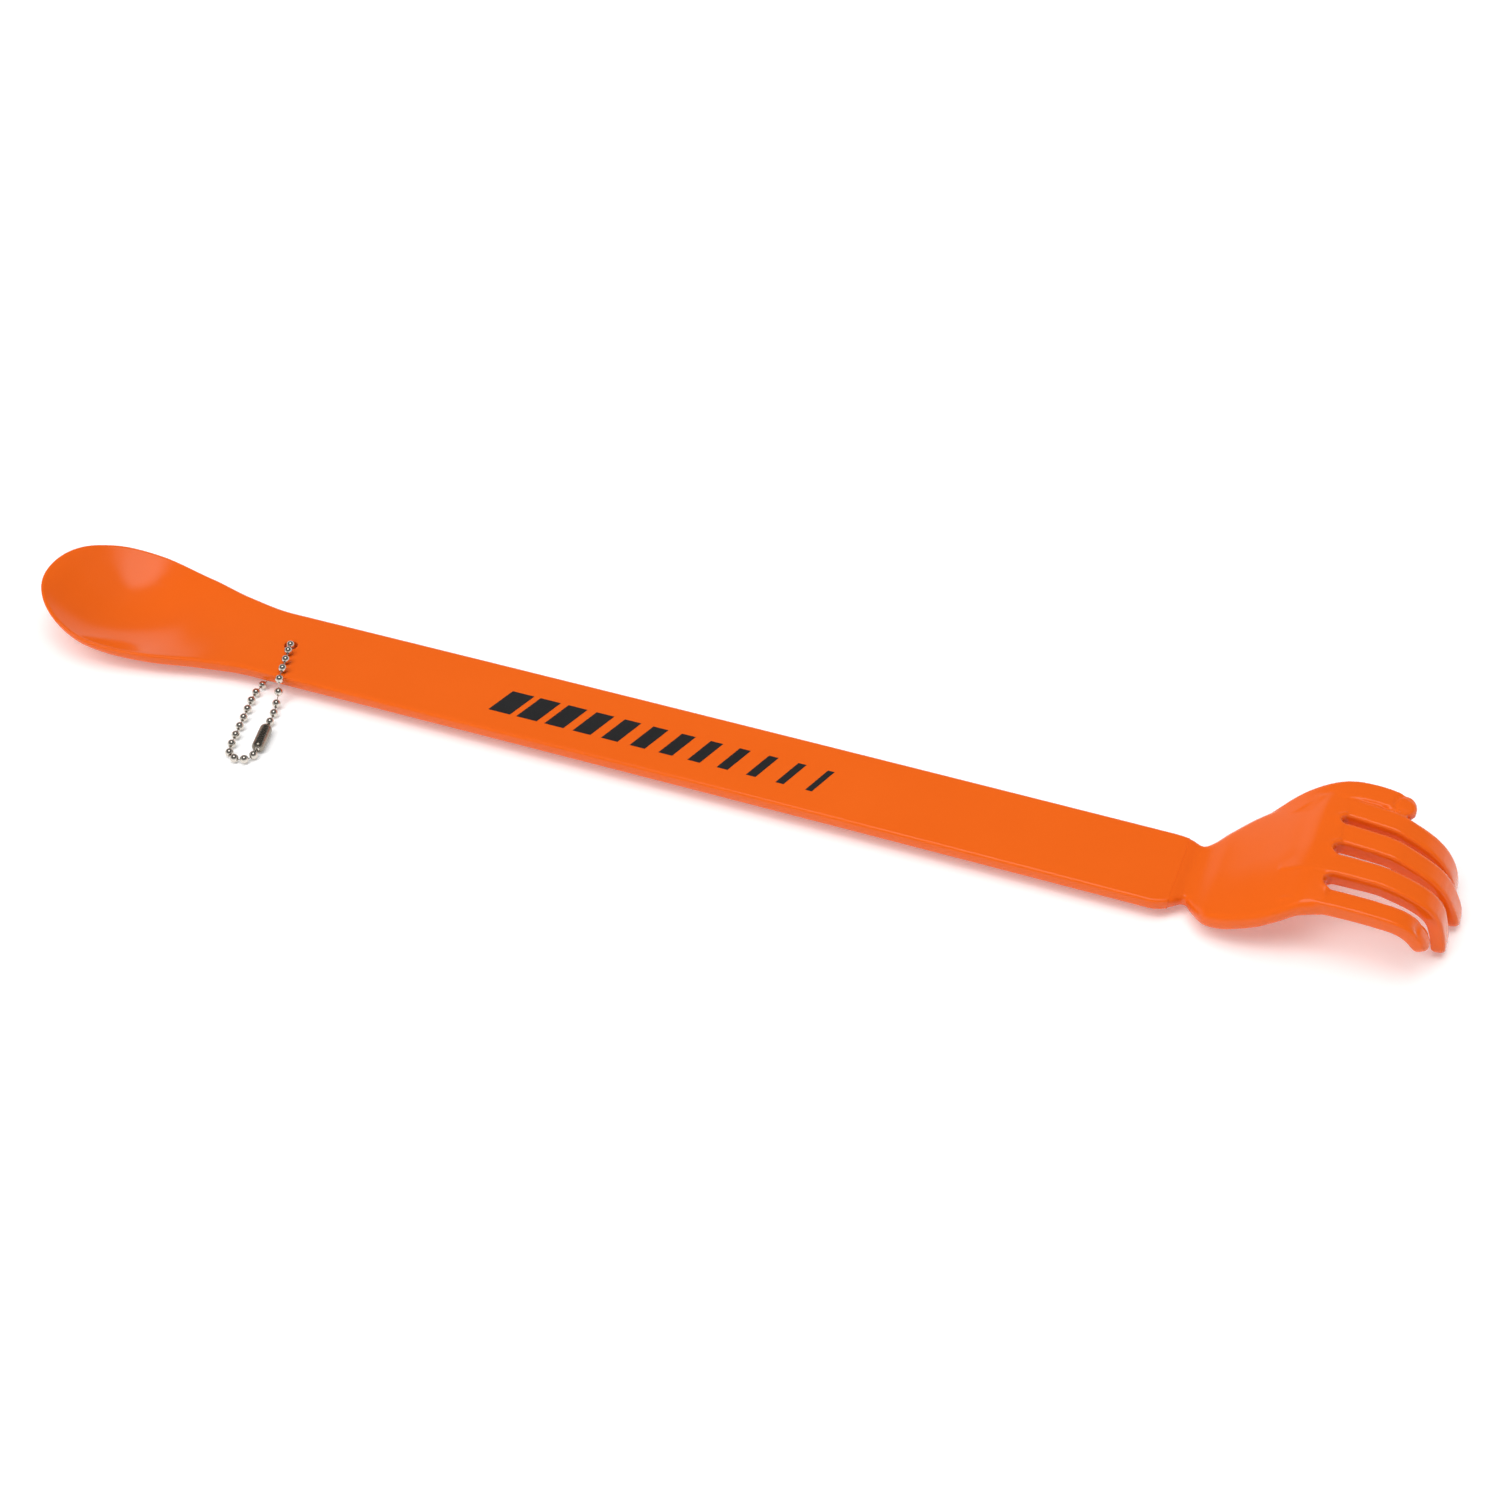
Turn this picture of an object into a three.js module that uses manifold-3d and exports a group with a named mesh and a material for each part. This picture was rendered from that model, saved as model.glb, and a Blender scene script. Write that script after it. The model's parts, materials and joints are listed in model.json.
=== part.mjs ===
// A back scratcher with a shoehorn end, moulded in one piece, and the ball chain it hangs by.
// Millimetres, +Z up, +X from the shoehorn to the hand. Places along X are measured from the
// hang hole. The finished group is moved so that its origin is the middle of its base.
import * as THREE from 'three';
import { mergeVertices } from 'three/addons/utils/BufferGeometryUtils.js';
import Module from 'manifold-3d';

const wasm = await Module();
wasm.setup();

// ---- Driving dimensions --------------------------------------------------------------

// The strap between the two ends.
const strapHalf = 12.7;
const strapThickness = 3.2;
const strapTop = 6.2; // its upper face over the surface that the tool lies on
const strapArch = 0.3; // its middle over its ends
const strapEdge = 0.9; // radius of its long edges
const wristX = 246;

// The shoehorn.
const bladeTipX = -73.2;
const bladeWidestX = -50;
const bladeHalf = 20.1;
const bladeRootX = -6; // where its flare has become the strap
const bladeTipRise = 7.8; // rim of the tip over the strap's upper face
const bladeTipThickness = 1.7;
const troughDepth = 5.34;

// The hand.
const palmEndX = 279;
const palmRise = 13; // back of the hand at the knuckles over the strap's upper face
const palmThickness = 4.6;
const palmEdge = 1.9; // radius of the palm's edges
const digitEdge = 0.8; // radius of the long edges of the fingers and the thumb
const handNearY = -10.6;
const handFarY = 32.6;
const nearDroop = 2.2; // how much lower the little finger's side of the palm is

// The hang hole and the ball chain.
const holeRadius = 1.75;
const beadRadius = 1.2;
const beadInside = 1.08;
const beadMouth = 0.26; // radius of a bead's two openings
const mouthReach = 1.13; // from a bead's centre to the middle of its wall at an opening
const linkLength = 2.3; // between the centres of a link's two heads
const headRadius = 0.28;
const shaftRadius = 0.13;
const floorGap = 0.05; // under the beads and the clasp
const legPitch = 3.46;
const bowGap = 0.6; // length of link that shows between two beads of the bow
const legHeading = -78.5; // degrees from +X, the way both legs run from the strap
const claspSpan = 7; // between the centres of the two beads in the clasp
const claspRadius = 1.65;
const claspWall = 0.25;

// ---- Materials -----------------------------------------------------------------------

const plastic = () => new THREE.MeshStandardMaterial({ color: 0xf26a21, roughness: 0.28 });
const nickel = () =>
  new THREE.MeshStandardMaterial({ color: 0xb9b4aa, roughness: 0.22, metalness: 1 });

// ---- Geometry helpers ----------------------------------------------------------------

// A smooth curve through [place, value] knots, level at both ends.
function through(knots) {
  const last = knots.length - 1;
  const rate = (k) => (knots[k + 1][1] - knots[k][1]) / (knots[k + 1][0] - knots[k][0]);
  const slope = (k) => {
    if (k === 0 || k === last) return 0;
    const [before, after] = [rate(k - 1), rate(k)];
    return before * after <= 0 ? 0 : (2 * before * after) / (before + after);
  };
  return (x) => {
    if (x <= knots[0][0]) return knots[0][1];
    if (x >= knots[last][0]) return knots[last][1];
    const k = knots.findIndex(([place]) => place > x) - 1;
    const span = knots[k + 1][0] - knots[k][0];
    const t = (x - knots[k][0]) / span;
    const ease = t * t * (3 - 2 * t);
    const bow = span * t * (1 - t) * ((1 - t) * slope(k) - t * slope(k + 1));
    return knots[k][1] + (knots[k + 1][1] - knots[k][1]) * ease + bow;
  };
}

function solid(geometry) {
  geometry.deleteAttribute('normal');
  geometry.deleteAttribute('uv');
  const body = mergeVertices(geometry, 1e-5);
  return new wasm.Manifold(
    new wasm.Mesh({
      numProp: 3,
      vertProperties: new Float32Array(body.attributes.position.array),
      triVerts: new Uint32Array(body.index.array),
    }),
  );
}

function geometryOf(manifold) {
  const { vertProperties, triVerts } = manifold.getMesh();
  const geometry = new THREE.BufferGeometry();
  geometry.setAttribute('position', new THREE.BufferAttribute(vertProperties, 3));
  geometry.setIndex(new THREE.BufferAttribute(triVerts, 1));
  return geometry;
}

// A slab with round edges, laid from section to section. section(ring) gives a section's
// half-width, thickness and edge radius, and place(ring, across, height) puts a point of it.
function slab(rings, cells, section, place) {
  const geometry = new THREE.BoxGeometry(2, 2, 2, rings, cells, 2);
  const at = geometry.attributes.position;
  for (let i = 0; i < at.count; i += 1) {
    const ring = Math.round(((at.getX(i) + 1) * rings) / 2);
    const { half, thickness, edge } = section(ring);
    const radius = Math.min(edge, 0.48 * thickness, 0.8 * half);
    const across = acrossAt(Math.round(((at.getY(i) + 1) * cells) / 2), cells, half, radius);
    const past = Math.max(0, Math.abs(across) - (half - radius));
    const round = Math.sqrt(Math.max(0, radius * radius - past * past));
    const point = place(ring, across, at.getZ(i) * (thickness / 2 - radius + round));
    at.setXYZ(i, point.x, point.y, point.z);
  }
  return geometry;
}

// Column k across a section: three columns make each round edge, the rest are even.
function acrossAt(k, cells, half, radius) {
  const side = Math.sign(k - cells / 2);
  const column = Math.min(k, cells - k);
  const inner = half - radius;
  if (column === 0) return side * half;
  if (column === 1) return side * (inner + 0.7 * radius);
  return inner * ((2 * (k - 2)) / (cells - 4) - 1);
}

// ---- The moulding --------------------------------------------------------------------

const rimRise = through([
  [bladeTipX, bladeTipRise],
  [-64, 5.5],
  [-52, 2.4],
  [-34, 0.5],
  [bladeRootX, 0],
]);

const troughFade = through([
  [bladeWidestX, troughDepth],
  [-28, 2],
  [bladeRootX, 0],
]);

const handRise = through([
  [243.6, 0],
  [247, -0.6],
  [254, 2],
  [262, 5.8],
  [270, 10],
  [275.5, 12.6],
  [palmEndX, palmRise],
]);

const thicknessAt = through([
  [bladeTipX, bladeTipThickness],
  [-52, 2.3],
  [-26, 3.1],
  [bladeRootX, strapThickness],
  [wristX, strapThickness],
  [258, palmThickness],
]);

const farFlare = through([
  [wristX - 6, strapHalf],
  [245, 12.2],
  [247.7, 11.5],
  [249.5, 12.7],
  [253, 16.8],
  [258, 21.6],
  [263, 24.9],
  [271.4, 30.6],
  [274.5, 31.8],
  [palmEndX, handFarY],
]);

const nearFlare = through([
  [wristX - 6, -strapHalf],
  [243.7, -11.6],
  [247.6, -8],
  [249.6, -10.3],
  [254, -14.4],
  [260, -15.4],
  [266, -15],
  [271.5, -13.6],
  [275.5, -12],
  [palmEndX, handNearY],
]);

const bladeFlare = through([
  [bladeWidestX, bladeHalf],
  [-34, 17.9],
  [-20, 14.6],
  [bladeRootX, strapHalf],
]);

// The blade's end is half an ellipse.
function bladeHalfAt(x) {
  if (x >= bladeWidestX) return bladeFlare(x);
  const share = (bladeWidestX - x) / (bladeWidestX - bladeTipX);
  return bladeHalf * Math.sqrt(Math.max(0, 1 - share * share));
}

// How far the middle of a section is sunk under its edges.
function trough(x) {
  if (x >= bladeWidestX) return troughFade(x);
  return troughDepth * (bladeHalfAt(x) / bladeHalf) ** 2;
}

const nearAt = (x) => (x < wristX - 6 ? -bladeHalfAt(x) : nearFlare(x));
const farAt = (x) => (x < wristX - 6 ? bladeHalfAt(x) : farFlare(x));

function archAt(x) {
  const share = (2 * (x - bladeRootX)) / (wristX - bladeRootX) - 1;
  return strapArch * Math.max(0, 1 - share * share);
}

// The places along X where the sections of the main body stand.
function stations() {
  const list = [];
  const tipRings = 9;
  const firstTurn = 1.5; // degrees, so that the end closes in a short edge
  for (let i = 0; i < tipRings; i += 1) {
    const turn = THREE.MathUtils.degToRad(firstTurn + ((90 - firstTurn) * i) / tipRings);
    list.push(bladeWidestX - (bladeWidestX - bladeTipX) * Math.cos(turn));
  }
  const even = (from, to, count) => {
    for (let i = 0; i < count; i += 1) list.push(from + ((to - from) * i) / count);
  };
  even(bladeWidestX, bladeRootX, 11);
  even(bladeRootX, wristX - 6, 6);
  even(wristX - 6, 254, 11);
  even(254, palmEndX, 9);
  list.push(palmEndX);
  return list;
}

// Shoehorn, strap, wrist and palm.
function mainBody() {
  const xs = stations();
  const crown = (x) => THREE.MathUtils.clamp((x - wristX) / 20, 0, 1);
  const droop = (share) => (share < 0 ? nearDroop * share * share : share ** 4);
  const section = (ring) => {
    const x = xs[ring];
    return {
      half: (farAt(x) - nearAt(x)) / 2,
      thickness: thicknessAt(x),
      edge: x > wristX + 4 ? palmEdge : strapEdge,
    };
  };
  return slab(xs.length - 1, 14, section, (ring, across, height) => {
    const x = xs[ring];
    const half = (farAt(x) - nearAt(x)) / 2;
    const share = across / half;
    const lift = rimRise(x) - trough(x) * (1 - share * share) - crown(x) * droop(share);
    const upper = strapTop + lift + handRise(x) + archAt(x);
    return new THREE.Vector3(
      x,
      (farAt(x) + nearAt(x)) / 2 + across,
      upper - thicknessAt(x) / 2 + height,
    );
  });
}

// A digit along the curve through its points, which lie down the middle of it.
function digit(points, rootHalf, tipHalf, rootThickness, tipThickness) {
  const line = new THREE.CatmullRomCurve3(
    points.map(([x, y, rise]) => new THREE.Vector3(x, y, strapTop + rise)),
    false,
    'centripetal',
  );
  const rings = 16;
  const alongAt = (ring) => (ring <= 13 ? ring / 14 : 1 - [0.035, 0.011, 0][ring - 14]);
  const rounding = [1, 0.93, 0.72, 0.36];
  const section = (ring) => {
    const along = alongAt(ring);
    const round = rounding[Math.max(0, ring - 13)];
    return {
      half: THREE.MathUtils.lerp(rootHalf, tipHalf, along) * round,
      thickness: THREE.MathUtils.lerp(rootThickness, tipThickness, along) * round,
      edge: digitEdge,
    };
  };
  return slab(rings, 8, section, (ring, across, height) => {
    const along = alongAt(ring);
    const ahead = line.getTangentAt(along);
    const side = new THREE.Vector3(0, 1, 0);
    side.addScaledVector(ahead, -ahead.y).normalize();
    const up = new THREE.Vector3().crossVectors(ahead, side);
    return line.getPointAt(along).addScaledVector(side, across).addScaledVector(up, height);
  });
}

const littleFinger = () =>
  digit(
    [[268, -7.4, 5.2], [274, -7.5, 8.3], [279, -7.6, 9], [285, -7.6, 9.2], [292, -7.6, 9],
      [298, -7.6, 8.3], [300.9, -7.6, 6.9], [303.2, -7.6, 4.7], [305, -7.6, 1.8]],
    3, 2.9, 4.2, 3.8,
  );

const ringFinger = () =>
  digit(
    [[269, 2.8, 6.7], [275, 2.7, 9.7], [280, 2.6, 10.5], [286, 2.5, 10.6], [291.2, 2.4, 10.5],
      [294.4, 2.2, 10], [299.6, 1.9, 8.6], [303.2, 1.6, 7], [305.4, 1.5, 4.8],
      [306.8, 1.4, 1.4], [307.7, 1.3, -2], [308.3, 1.2, -5.9]],
    3.6, 3.2, 4.8, 3.8,
  );

const middleFinger = () =>
  digit(
    [[269, 14.2, 6.7], [275, 13.9, 9.7], [280, 13.7, 10.5], [286, 13.3, 10.6], [292.4, 12.7, 10.4],
      [295.5, 12.4, 9.5], [300.4, 11.9, 7.6], [303.8, 11.6, 5.7], [306.2, 11.4, 3.2],
      [308, 11.3, 0.2], [309.3, 11.2, -2.6], [310.2, 11.1, -5.8]],
    3.6, 3.3, 4.8, 3.8,
  );

const indexFinger = () =>
  digit(
    [[269, 24.2, 6.7], [275, 23.7, 9.7], [280, 23.2, 10.5], [286, 22.6, 10.6], [291.8, 22, 10.4],
      [295, 21.6, 9.5], [299.9, 21.1, 7.4], [302.6, 20.8, 5.5], [304.7, 20.6, 3.1],
      [306.3, 20.5, 0], [307.1, 20.4, -3], [307.5, 20.3, -5.9]],
    3.4, 3.2, 4.8, 3.8,
  );

const thumb = () =>
  digit(
    [[262, 19.5, 2.6], [270.5, 26.2, 8.1], [278, 29.2, 10.9], [285, 29.9, 11.2], [291, 29.1, 11],
      [295.3, 27.6, 10.4]],
    3.2, 3.5, 3.9, 3.8,
  );

function hangHole() {
  const drill = new THREE.CylinderGeometry(holeRadius, holeRadius, 12, 24);
  drill.rotateX(Math.PI / 2);
  drill.translate(0, 0, strapTop);
  return drill;
}

function moulding() {
  const joined = [littleFinger, ringFinger, middleFinger, indexFinger, thumb].reduce(
    (body, make) => body.add(solid(make())),
    solid(mainBody()),
  );
  const mesh = new THREE.Mesh(geometryOf(joined.subtract(solid(hangHole()))), plastic());
  mesh.name = 'scratcher_moulding';
  return mesh;
}

// ---- The ball chain ------------------------------------------------------------------

const floorBead = beadRadius + floorGap;
const heading = new THREE.Vector3(1, 0, 0).applyAxisAngle(
  new THREE.Vector3(0, 0, 1),
  THREE.MathUtils.degToRad(legHeading),
);

// Over the strap from the hang hole, over its edge and down to the surface.
const draped = [
  [0.15, -0.45, strapTop + 0.42],
  [1.3, -3.68, strapTop + 1.26],
  [2.35, -7.15, strapTop + 1.26],
  [3.3, -10.65, strapTop + 1.26],
  [4.05, -14, strapTop + 0.4],
  [4.35, -15.85, strapTop - 2.55],
  [4.85, -18.4, floorBead + 0.55],
].map((p) => new THREE.Vector3(...p));

// From the hang hole, under the strap and out beside it.
const tucked = [
  [0, 0.35, strapTop - 2.85],
  [-0.6, -2.3, floorBead + 0.3],
  [-1.3, -5.65, floorBead],
  [-1.95, -9, floorBead],
  [-2.5, -12.35, floorBead],
  [-2.7, -15.75, floorBead],
].map((p) => new THREE.Vector3(...p));

// One leg lies straight from the strap to the bow.
const leftLeg = Array.from({ length: 7 }, (_, i) =>
  new THREE.Vector3(-2.3, -19.1, floorBead).addScaledVector(heading, i * legPitch),
);

// The bow turns half round, by the same angle at each side of each of its four beads.
function bowBeads() {
  const up = new THREE.Vector3(0, 0, 1);
  const step = Math.PI / 8;
  const way = heading.clone();
  const at = leftLeg[6].clone().addScaledVector(heading, -mouthReach);
  const list = [];
  for (let i = 0; i < 4; i += 1) {
    way.applyAxisAngle(up, step);
    list.push(at.clone().addScaledVector(way, mouthReach));
    at.addScaledVector(way, 2 * mouthReach);
    way.applyAxisAngle(up, step);
    at.addScaledVector(way, bowGap);
  }
  list.push(at.clone().addScaledVector(way, mouthReach));
  return list;
}

const bow = bowBeads();
const claspHeight = claspRadius + floorGap;
const claspLow = bow[4].clone().setZ(claspHeight);
const claspHigh = claspLow.clone().addScaledVector(heading, -claspSpan);
const rightLeg = [2, 1].map((i) =>
  claspHigh.clone().addScaledVector(heading, -i * legPitch).setZ(floorBead),
);

// Every bead in order, round the loop from the hang hole and back to it.
const beadCentres = [
  ...draped,
  ...rightLeg,
  claspHigh,
  claspLow,
  ...bow.slice(0, 4).reverse(),
  ...leftLeg.slice(0, 6).reverse(),
  ...tucked.slice().reverse(),
];
const firstInClasp = beadCentres.indexOf(claspHigh);

// A bead's axis lies halfway between the links on either side of it. The axes start halfway
// between the neighbouring beads, and settle in small steps.
const next = (i) => (i + 1) % beadCentres.length;
const before = (i) => (i + beadCentres.length - 1) % beadCentres.length;
const wayTo = (from, to) => to.clone().sub(from).normalize();
const beadWays = beadCentres.map((centre, i) =>
  wayTo(beadCentres[before(i)], centre).add(wayTo(centre, beadCentres[next(i)])).normalize(),
);
const openingAhead = (i) => beadCentres[i].clone().addScaledVector(beadWays[i], mouthReach);
const openingBehind = (i) => beadCentres[i].clone().addScaledVector(beadWays[i], -mouthReach);

for (let pass = 0; pass < 60; pass += 1) {
  const links = beadCentres.map((_, i) => wayTo(openingAhead(i), openingBehind(next(i))));
  beadWays.forEach((way, i) => {
    way.multiplyScalar(6).add(links[i]).add(links[before(i)]).normalize();
  });
}

function arc(radius, from, to, steps) {
  return Array.from({ length: steps + 1 }, (_, i) => {
    const turn = from + ((to - from) * i) / steps;
    return new THREE.Vector2(radius * Math.sin(turn), -radius * Math.cos(turn));
  });
}

// A hollow ball with an opening at each end of its axis.
function bead() {
  const outer = Math.asin(beadMouth / beadRadius);
  const inner = Math.asin(beadMouth / beadInside);
  const profile = [
    ...arc(beadRadius, outer, Math.PI - outer, 6),
    ...arc(beadInside, Math.PI - inner, inner, 4),
  ];
  return new THREE.LatheGeometry([...profile, profile[0].clone()], 14);
}

// A wire with a ball at each end.
function link() {
  const neck = Math.asin(shaftRadius / headRadius);
  const head = arc(headRadius, 0, Math.PI - neck, 3);
  head.forEach((p) => {
    p.y -= linkLength / 2;
  });
  head[0].x = 0;
  const profile = [...head, ...head.map((p) => new THREE.Vector2(p.x, -p.y)).reverse()];
  return new THREE.LatheGeometry(profile, 6);
}

// A tube drawn in at both ends round the end beads, and open along one side.
function clasp() {
  const bead = claspSpan / 2;
  const outside = [
    [1, -bead - 1],
    [1.45, -bead - 0.55],
    [claspRadius, -bead],
    [claspRadius, bead],
    [1.45, bead + 0.55],
    [1, bead + 1],
  ];
  const inside = outside.map(([r, y]) => [r - claspWall, y]).reverse();
  const loop = [...outside, ...inside, outside[0]].map(([r, y]) => new THREE.Vector2(r, y));
  const tube = solid(new THREE.LatheGeometry(loop, 20));
  const window = new THREE.BoxGeometry(3, 3.4, 1.7);
  window.translate(-2.1, 1.6, 0);
  const notch = new THREE.BoxGeometry(3, 2.4, 0.9);
  notch.translate(-2.1, -0.9, 0);
  return geometryOf(tube.subtract(solid(window)).subtract(solid(notch)));
}

function placed(geometry, name, centre, way) {
  const mesh = new THREE.Mesh(geometry, nickel());
  mesh.name = name;
  mesh.position.copy(centre);
  mesh.quaternion.setFromUnitVectors(new THREE.Vector3(0, 1, 0), way);
  return mesh;
}

const numbered = (name, i) => `${name}_${String(i + 1).padStart(2, '0')}`;

function chain() {
  const group = new THREE.Group();
  beadCentres.forEach((centre, i) => {
    group.add(placed(bead(), numbered('bead', i), centre, beadWays[i]));
    if (i === firstInClasp) return;
    const from = openingAhead(i);
    const to = openingBehind(next(i));
    const middle = from.clone().add(to).multiplyScalar(0.5);
    group.add(placed(link(), numbered('link', i), middle, to.sub(from).normalize()));
  });
  const middle = claspHigh.clone().add(claspLow).multiplyScalar(0.5);
  group.add(placed(clasp(), 'chain_clasp', middle, heading));
  return group;
}

// ---- The whole object ----------------------------------------------------------------

const scratcher = new THREE.Group();
scratcher.add(moulding(), chain());
scratcher.updateMatrixWorld(true);
const box = new THREE.Box3().setFromObject(scratcher, true);
scratcher.position.set(-(box.min.x + box.max.x) / 2, -(box.min.y + box.max.y) / 2, -box.min.z);

export default scratcher;
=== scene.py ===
import json
import math

import bmesh
import bpy
from mathutils import Matrix, Vector


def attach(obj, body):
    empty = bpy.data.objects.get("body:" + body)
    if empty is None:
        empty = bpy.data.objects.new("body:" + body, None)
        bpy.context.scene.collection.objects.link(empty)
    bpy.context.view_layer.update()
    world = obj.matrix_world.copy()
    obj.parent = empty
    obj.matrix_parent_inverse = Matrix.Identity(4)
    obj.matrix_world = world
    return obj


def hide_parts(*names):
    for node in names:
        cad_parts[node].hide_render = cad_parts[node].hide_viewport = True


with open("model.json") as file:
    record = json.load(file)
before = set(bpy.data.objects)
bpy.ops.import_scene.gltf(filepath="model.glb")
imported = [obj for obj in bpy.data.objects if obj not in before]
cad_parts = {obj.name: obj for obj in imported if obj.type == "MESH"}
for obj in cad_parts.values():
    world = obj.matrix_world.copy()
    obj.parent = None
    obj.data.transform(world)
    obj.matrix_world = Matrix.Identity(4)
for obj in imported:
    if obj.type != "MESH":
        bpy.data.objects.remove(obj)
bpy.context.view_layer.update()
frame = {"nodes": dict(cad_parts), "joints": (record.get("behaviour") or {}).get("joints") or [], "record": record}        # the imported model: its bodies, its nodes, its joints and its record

bl_info = {
    "name": "Back scratcher with shoehorn end",
    "version": (1, 0, 0),
    "blender": (4, 5, 0),
    "location": "View3D > Sidebar > Scratcher",
    "description": "Builds the moulded scratcher, its imprint, its ball chain and a plain stage",
    "category": "Object",
}

MM = 0.001
BODIES = frame["record"]["behaviour"]["bodies"]


def joint_place(name):
    """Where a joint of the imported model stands."""
    joint = next(j for j in frame["joints"] if j["name"] == name)
    return Vector(joint["pos_m"])


# ---- Sizes of the moulding, in millimetres -------------------------------------------
# Places along X are measured from the hang hole, places across from the strap's middle,
# and heights from the surface that the tool lies on.

STRAP_TOP = 6.2
STRAP_THICKNESS = 3.2
STRAP_HALF = 12.7
STRAP_ARCH = 0.3        # how far the strap's upper face swells at mid-length
HOLE_RADIUS = 1.75
BLADE_TIP_X = -73.2
BLADE_WIDEST_X = -50
BLADE_ROOT_X = -6
BLADE_HALF = 20.1
TROUGH_DEPTH = 5.3
FLARE_X = 240           # where the strap's sides start to turn in to the wrist
CREASE_X = 244.2
WRIST_X = 246
PALM_END_X = 279
PALM_RISE = 13
PALM_THICKNESS = 4.6

# The middle of the hang hole, down at the surface that the tool lies on.
FLOOR = joint_place("chain_swing") - Vector((0, 0, (STRAP_TOP - STRAP_THICKNESS / 2) * MM))


def at(x, y, height):
    """A point in metres in the row's frame."""
    return FLOOR + Vector((x, y, height)) * MM


def through(knots):
    """A smooth curve through (place, value) knots, level at both ends."""
    last = len(knots) - 1

    def rate(k):
        return (knots[k + 1][1] - knots[k][1]) / (knots[k + 1][0] - knots[k][0])

    def slope(k):
        if k in (0, last):
            return 0.0
        before, after = rate(k - 1), rate(k)
        return 0.0 if before * after <= 0 else 2 * before * after / (before + after)

    slopes = [slope(k) for k in range(last + 1)]

    def value(x):
        if x <= knots[0][0]:
            return knots[0][1]
        if x >= knots[last][0]:
            return knots[last][1]
        k = next(i for i in range(last) if knots[i + 1][0] > x)
        span = knots[k + 1][0] - knots[k][0]
        t = (x - knots[k][0]) / span
        ease = t * t * (3 - 2 * t)
        bow = span * t * (1 - t) * ((1 - t) * slopes[k] - t * slopes[k + 1])
        return knots[k][1] + (knots[k + 1][1] - knots[k][1]) * ease + bow

    return value


# Each of these gives one size of the moulding at a place along it.
rim_rise = through([(BLADE_TIP_X, 7.8), (-64, 5.5), (-52, 2.4), (-34, 0.5), (BLADE_ROOT_X, 0)])
trough_fade = through([(BLADE_WIDEST_X, TROUGH_DEPTH), (-28, 2), (BLADE_ROOT_X, 0)])
hand_rise = through([(243.6, 0), (247, -0.6), (254, 2), (262, 5.8), (270, 10), (275.5, 12.6),
                     (PALM_END_X, PALM_RISE)])
thickness_at = through([(BLADE_TIP_X, 1.7), (-52, 2.3), (-26, 3.1),
                        (BLADE_ROOT_X, STRAP_THICKNESS), (WRIST_X, STRAP_THICKNESS),
                        (258, PALM_THICKNESS)])
far_flare = through([(FLARE_X, STRAP_HALF), (245, 12.2), (247.7, 11.5), (249.5, 12.7),
                     (253, 16.8), (258, 21.6), (263, 24.9), (271.4, 30.6), (274.5, 31.8),
                     (PALM_END_X, 32.5)])
near_flare = through([(FLARE_X, -STRAP_HALF), (243.7, -11.6), (247.6, -8), (249.6, -10.3),
                      (254, -14.4), (260, -15.4), (266, -15), (271.5, -13.6), (275.5, -12),
                      (PALM_END_X, -10.6)])
blade_flare = through([(BLADE_WIDEST_X, BLADE_HALF), (-34, 17.9), (-20, 14.6),
                       (BLADE_ROOT_X, STRAP_HALF)])


def blade_half(x):
    """Half the width of the blade and the strap. The blade's end is half an ellipse."""
    if x >= BLADE_WIDEST_X:
        return blade_flare(x)
    share = (BLADE_WIDEST_X - x) / (BLADE_WIDEST_X - BLADE_TIP_X)
    return BLADE_HALF * math.sqrt(max(0.0, 1 - share * share))


def trough(x):
    """How far the middle of a section is sunk under its edges."""
    if x >= BLADE_WIDEST_X:
        return trough_fade(x)
    return TROUGH_DEPTH * (blade_half(x) / BLADE_HALF) ** 2


def near_at(x):
    """The side of the blade, the strap or the palm that the chain hangs over."""
    return -blade_half(x) if x < FLARE_X else near_flare(x)


def far_at(x):
    """The other side, where the thumb is."""
    return blade_half(x) if x < FLARE_X else far_flare(x)


def arch_at(x):
    """The swell of the strap's upper face."""
    share = 2 * (x - BLADE_ROOT_X) / (WRIST_X - BLADE_ROOT_X) - 1
    return STRAP_ARCH * max(0.0, 1 - share * share)


def across_slope(edge, x):
    """Cosine of the angle between an outline and the X axis."""
    step = 0.2
    return 1 / math.hypot(1, (edge(x + step) - edge(x - step)) / (2 * step))


def border_distance(x, y):
    """How far a point of the blade, the strap or the palm is from the outline."""
    if x < BLADE_WIDEST_X:
        run = (BLADE_WIDEST_X - x) / (BLADE_WIDEST_X - BLADE_TIP_X)
        rho = math.hypot(run, y / BLADE_HALF)
        if rho < 1e-6:
            return BLADE_HALF
        steep = math.hypot(run / (BLADE_WIDEST_X - BLADE_TIP_X), y / BLADE_HALF**2)
        return max(0.0, (1 - rho) * rho / steep)
    far = (far_at(x) - y) * across_slope(far_at, x)
    near = (y - near_at(x)) * across_slope(near_at, x)
    return max(0.0, min(far, near))


def ramp_up(x, start, length):
    """A share that grows from 0 to 1 over a length."""
    return min(1.0, max(0.0, (x - start) / length))


def edge_height(thickness, radius, distance):
    """Half the thickness at a distance from an outline with a round edge."""
    radius = min(radius, 0.48 * thickness)  # a flat is left on the side of a thin edge
    inward = radius - min(distance, radius)
    return thickness / 2 - radius + math.sqrt(max(0.0, radius * radius - inward * inward))


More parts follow.
